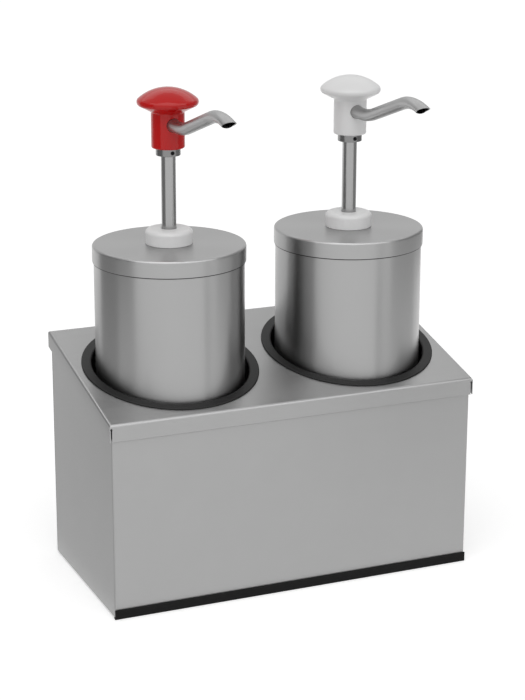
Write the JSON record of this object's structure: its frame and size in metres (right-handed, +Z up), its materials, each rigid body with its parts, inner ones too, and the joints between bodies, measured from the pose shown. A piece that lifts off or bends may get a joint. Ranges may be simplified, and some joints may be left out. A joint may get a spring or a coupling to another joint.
{
  "type": "topping pump station",
  "caption": "Countertop stainless stand holding lift-out topping containers under lids with push-down hand pumps and swivelling spouts.",
  "frame": {"origin": "middle of the front edging's underside, on the counter", "axes": "+X to the right seen from the front, +Y to the back, +Z up"},
  "size_m": [0.4, 0.2634, 0.515],
  "materials": {
    "brushed_steel": "satin, linear grain",
    "satin_steel": "satin, turned",
    "bright_steel": "polished",
    "dark_steel": "black oxide",
    "black_rubber": "satin, extruded",
    "black_seal": "satin",
    "white_silicone": "matte",
    "white_acetal": "satin",
    "clear_white_plastic": "satin",
    "red_knob": "gloss",
    "white_knob": "satin"
  },
  "bodies": {
    "station": {"panel_wrap": "brushed_steel", "back_panel": "brushed_steel", "top_plate": "brushed_steel", "container_shelf": "brushed_steel", "front_edging": "black_rubber", "rear_edging": "black_rubber", "back_rivets": "bright_steel", "left_hole_edging": "black_rubber", "right_hole_edging": "black_rubber"},
    "left_pot": {"left_container": "satin_steel"},
    "left_pump": {"left_lid": "satin_steel", "left_collar": "white_acetal", "left_gasket": "white_silicone", "left_barrel": "clear_white_plastic", "left_guide_bush": "white_acetal", "left_rod_seal": "black_seal", "left_foot_valve": "white_acetal", "left_suction_tube": "clear_white_plastic", "left_return_spring": "bright_steel"},
    "left_plunger": {"left_piston": "white_acetal", "left_piston_seal": "black_seal"},
    "left_head": {"left_plunger_tube": "bright_steel", "left_steel_ring": "bright_steel", "left_grub_screw": "dark_steel", "left_knob": "red_knob", "left_spout": "bright_steel"},
    "left_intake_ball": {"left_suction_ball": "bright_steel"},
    "left_outlet_ball": {"left_discharge_ball": "bright_steel"},
    "right_pot": {"right_container": "satin_steel"},
    "right_pump": {"right_lid": "satin_steel", "right_collar": "white_acetal", "right_gasket": "white_silicone", "right_barrel": "clear_white_plastic", "right_guide_bush": "white_acetal", "right_rod_seal": "black_seal", "right_foot_valve": "white_acetal", "right_suction_tube": "clear_white_plastic", "right_return_spring": "bright_steel"},
    "right_plunger": {"right_piston": "white_acetal", "right_piston_seal": "black_seal"},
    "right_head": {"right_plunger_tube": "bright_steel", "right_steel_ring": "bright_steel", "right_grub_screw": "dark_steel", "right_knob": "white_knob", "right_spout": "bright_steel"},
    "right_intake_ball": {"right_suction_ball": "bright_steel"},
    "right_outlet_ball": {"right_discharge_ball": "bright_steel"}
  },
  "joints": [
    {"name": "left_container_lift", "type": "slide", "parent": "station", "child": "left_pot", "axis": [0, 0, 1], "range_m": [0, 0.15]},
    {"name": "left_lid_lift", "type": "slide", "parent": "left_pot", "child": "left_pump", "axis": [0, 0, 1], "range_m": [0, 0.24]},
    {"name": "left_pump_stroke", "type": "slide", "parent": "left_pump", "child": "left_plunger", "axis": [0, 0, -1], "range_m": [0, 0.074], "stiffness_N_per_m": 150, "springref_m": -0.05, "deforming": ["left_return_spring"]},
    {"name": "left_head_swivel", "type": "hinge", "parent": "left_plunger", "child": "left_head", "pos_m": [-0.1, 0.095, 0.46], "axis": [0, 0, 1], "continuous": true},
    {"name": "left_intake_ball_lift", "type": "slide", "parent": "left_pump", "child": "left_intake_ball", "axis": [0, 0, 1], "range_m": [0, 0.004]},
    {"name": "left_outlet_ball_lift", "type": "slide", "parent": "left_plunger", "child": "left_outlet_ball", "axis": [0, 0, 1], "range_m": [0, 0.004]},
    {"name": "right_container_lift", "type": "slide", "parent": "station", "child": "right_pot", "axis": [0, 0, 1], "range_m": [0, 0.15]},
    {"name": "right_lid_lift", "type": "slide", "parent": "right_pot", "child": "right_pump", "axis": [0, 0, 1], "range_m": [0, 0.24]},
    {"name": "right_pump_stroke", "type": "slide", "parent": "right_pump", "child": "right_plunger", "axis": [0, 0, -1], "range_m": [0, 0.074], "stiffness_N_per_m": 150, "springref_m": -0.05, "deforming": ["right_return_spring"]},
    {"name": "right_head_swivel", "type": "hinge", "parent": "right_plunger", "child": "right_head", "pos_m": [0.1, 0.095, 0.46], "axis": [0, 0, 1], "continuous": true},
    {"name": "right_intake_ball_lift", "type": "slide", "parent": "right_pump", "child": "right_intake_ball", "axis": [0, 0, 1], "range_m": [0, 0.004]},
    {"name": "right_outlet_ball_lift", "type": "slide", "parent": "right_plunger", "child": "right_outlet_ball", "axis": [0, 0, 1], "range_m": [0, 0.004]}
  ]
}
